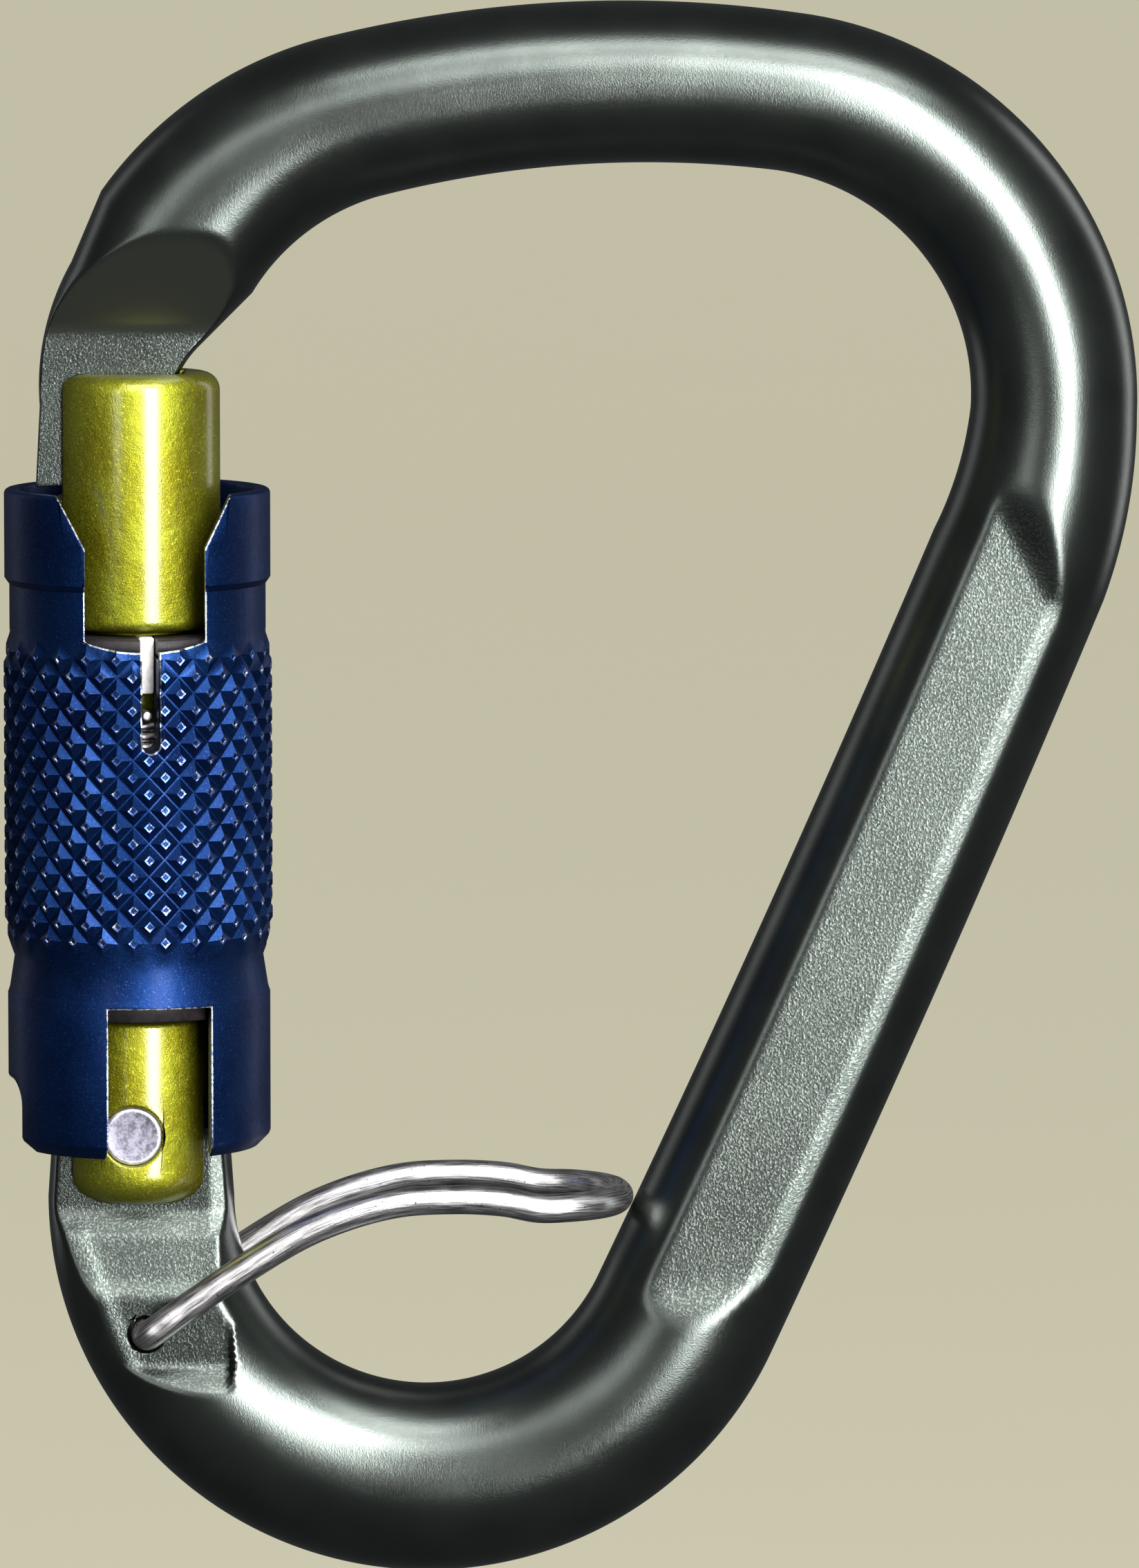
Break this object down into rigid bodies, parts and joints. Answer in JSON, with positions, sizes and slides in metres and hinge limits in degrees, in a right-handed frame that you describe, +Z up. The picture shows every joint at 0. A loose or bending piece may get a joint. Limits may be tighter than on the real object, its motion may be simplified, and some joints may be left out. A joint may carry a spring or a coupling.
{
  "type": "locking carabiner",
  "caption": "Pear-shaped forged belay carabiner with a hinged gate, a spring-loaded twist-lock sleeve and a wire keeper across its narrow end",
  "frame": {"origin": "top of the inside of the wide end, where the rope runs and the carabiner hangs", "axes": "+Z up towards the wide end, +X from the gate to the spine, +Y from the front to the back"},
  "size_m": [0.0818, 0.0194, 0.1142],
  "materials": {
    "body_anodised": "dark green-grey anodised, fine satin grain",
    "gate_anodised": "yellow-olive anodised, sparkling satin",
    "sleeve_anodised": "navy anodised, knurled grip, satin ends",
    "rivet_steel": "mottled flat head, bright rim",
    "keeper_steel": "drawn bright wire with lengthwise streaks",
    "spring_steel": "bare spring wire",
    "key_plastic": "pale grey, matte",
    "bush_plastic": "near-black, matte"
  },
  "bodies": {
    "root": {"frame_body": "body_anodised"},
    "gate": {"gate_barrel": "gate_anodised", "gate_pivot_rivet": "rivet_steel", "gate_return_spring": "spring_steel"},
    "plunger": {"gate_plunger": "spring_steel"},
    "sleeve": {"lock_sleeve": "sleeve_anodised", "upper_guide_bush": "bush_plastic", "lower_guide_bush": "bush_plastic", "sleeve_key": "key_plastic", "sleeve_return_spring": "spring_steel"},
    "keeper": {"wire_keeper": "keeper_steel"}
  },
  "joints": [
    {"name": "gate_hinge", "type": "hinge", "parent": "root", "child": "gate", "pos_m": [-0.0318, 0, -0.0702], "axis": [0, 1, 0], "range_deg": [0, 24], "stiffness_Nm_per_rad": 0.08, "springref_deg": -20.05},
    {"name": "sleeve_twist", "type": "hinge", "parent": "gate", "child": "sleeve", "pos_m": [-0.0315, 0, -0.047], "axis": [0, 0, -1], "range_deg": [0, 90], "stiffness_Nm_per_rad": 0.01, "springref_deg": -45.84},
    {"name": "plunger_slide", "type": "slide", "parent": "gate", "child": "plunger", "axis": [0, 0, 1], "range_m": [0, 0.001], "deforming": ["gate_return_spring"]},
    {"name": "keeper_hinge", "type": "hinge", "parent": "root", "child": "keeper", "pos_m": [-0.0309, 0, -0.0847], "axis": [0, -1, 0], "range_deg": [0, 21], "stiffness_Nm_per_rad": 0.02, "springref_deg": -22.92}
  ],
  "couplings": [
    {"joint": "plunger_slide", "follows": "gate_hinge", "m_per_rad": 0.00238}
  ]
}
